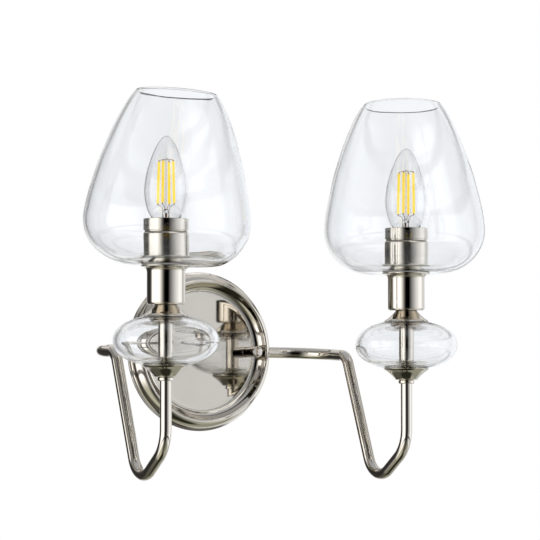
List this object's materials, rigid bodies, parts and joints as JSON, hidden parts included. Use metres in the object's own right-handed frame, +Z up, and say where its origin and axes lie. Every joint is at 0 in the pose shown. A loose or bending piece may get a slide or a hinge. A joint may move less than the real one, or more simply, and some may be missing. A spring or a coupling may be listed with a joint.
{
  "type": "wall sconce",
  "caption": "Polished nickel wall light: a round dished plate, bent tube arms, flattened glass balls and open clear blown glass shades round candle bulbs.",
  "frame": {"origin": "centre of the round wall plate, on the wall's surface", "axes": "+Z up, +Y into the wall, +X to the viewer's right, so the light stands out of the wall along -Y"},
  "size_m": [0.358, 0.225, 0.3106],
  "materials": {
    "polished_nickel": "mirror polish, slightly warm",
    "clear_glass": "clear, blown",
    "bulb_glass": "clear, thin",
    "filament": "yellow phosphor coat",
    "lead_wire": "drawn wire",
    "cap_metal": "thin plated sheet",
    "cap_insulator": "dark vitrite",
    "contact_metal": "soldered",
    "lampholder": "dark moulding",
    "brass": "plain",
    "zinc_steel": "zinc plated",
    "gasket": "translucent washer"
  },
  "bodies": {
    "frame": {"wall_plate": "polished_nickel", "mounting_strap": "zinc_steel", "plate_studs": "zinc_steel", "earth_screw": "brass", "arm_left": "polished_nickel", "arm_right": "polished_nickel", "arm_bead_left": "polished_nickel", "lower_cup_left": "polished_nickel", "glass_ball_left": "clear_glass", "ball_spindle_left": "polished_nickel", "upper_cup_left": "polished_nickel", "threaded_rod_left": "zinc_steel", "rod_nut_left": "zinc_steel", "shade_seat_left": "polished_nickel", "shade_gaskets_left": "gasket", "glass_shade_left": "clear_glass", "upper_sleeve_left": "polished_nickel", "lampholder_left": "lampholder", "screw_shell_left": "brass", "holder_contact_left": "brass", "arm_bead_right": "polished_nickel", "lower_cup_right": "polished_nickel", "glass_ball_right": "clear_glass", "ball_spindle_right": "polished_nickel", "upper_cup_right": "polished_nickel", "threaded_rod_right": "zinc_steel", "rod_nut_right": "zinc_steel", "shade_seat_right": "polished_nickel", "shade_gaskets_right": "gasket", "glass_shade_right": "clear_glass", "upper_sleeve_right": "polished_nickel", "lampholder_right": "lampholder", "screw_shell_right": "brass", "holder_contact_right": "brass"},
    "knob_left": {"knob_left": "polished_nickel"},
    "ring_left": {"shade_ring_left": "polished_nickel"},
    "bulb_left": {"bulb_glass_left": "bulb_glass", "bulb_cap_left": "cap_metal", "bulb_insulator_left": "cap_insulator", "bulb_tip_contact_left": "contact_metal", "bulb_stem_left": "bulb_glass", "bulb_filaments_left": "filament", "bulb_wires_left": "lead_wire"},
    "knob_right": {"knob_right": "polished_nickel"},
    "ring_right": {"shade_ring_right": "polished_nickel"},
    "bulb_right": {"bulb_glass_right": "bulb_glass", "bulb_cap_right": "cap_metal", "bulb_insulator_right": "cap_insulator", "bulb_tip_contact_right": "contact_metal", "bulb_stem_right": "bulb_glass", "bulb_filaments_right": "filament", "bulb_wires_right": "lead_wire"}
  },
  "joints": [
    {"name": "knob_turn_left", "type": "hinge", "parent": "frame", "child": "knob_left", "pos_m": [-0.0445, -0.015, 0], "axis": [0, -1, 0], "continuous": true},
    {"name": "ring_turn_left", "type": "hinge", "parent": "frame", "child": "ring_left", "pos_m": [-0.112, -0.158, 0.095], "axis": [0, 0, 1], "continuous": true},
    {"name": "bulb_turn_left", "type": "hinge", "parent": "frame", "child": "bulb_left", "pos_m": [-0.112, -0.158, 0.1], "axis": [0, 0, 1], "continuous": true},
    {"name": "knob_turn_right", "type": "hinge", "parent": "frame", "child": "knob_right", "pos_m": [0.0445, -0.015, 0], "axis": [0, -1, 0], "continuous": true},
    {"name": "ring_turn_right", "type": "hinge", "parent": "frame", "child": "ring_right", "pos_m": [0.112, -0.158, 0.095], "axis": [0, 0, 1], "continuous": true},
    {"name": "bulb_turn_right", "type": "hinge", "parent": "frame", "child": "bulb_right", "pos_m": [0.112, -0.158, 0.1], "axis": [0, 0, 1], "continuous": true}
  ]
}
